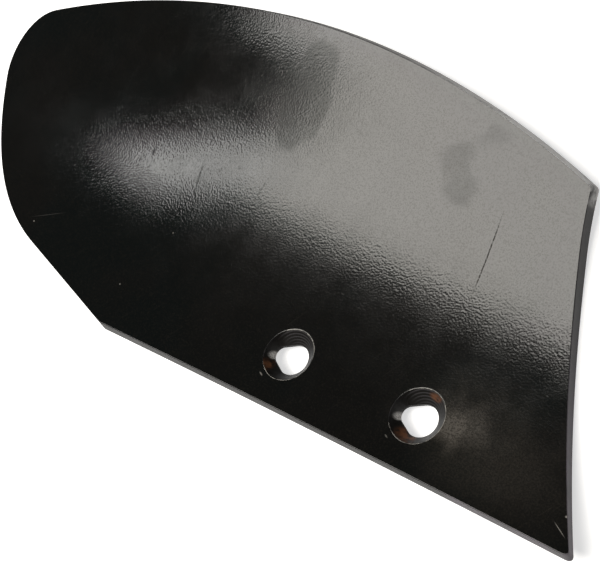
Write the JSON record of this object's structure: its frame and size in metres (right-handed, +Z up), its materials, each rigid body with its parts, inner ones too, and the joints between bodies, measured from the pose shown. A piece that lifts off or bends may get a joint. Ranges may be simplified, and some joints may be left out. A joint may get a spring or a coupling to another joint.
{
  "type": "mouldboard plate",
  "caption": "Curved mouldboard plate in black lacquered steel, with a rounded nose, a straight share edge and countersunk bolt holes.",
  "frame": {"origin": "on the floor, in the middle of the plate's length and width, with the plate lying on its rounded back", "axes": "+X along the bend's axis, from the rounded nose to the corner where the share edge meets the shin edge; +Y away from the share edge and its bolt holes; +Z up, out of the hollow face"},
  "size_m": [0.4181, 0.1697, 0.0208],
  "materials": {
    "black_lacquer": "gloss black lacquer over pressed steel"
  },
  "bodies": {
    "root": {"mouldboard_plate": "black_lacquer"}
  },
  "joints": []
}
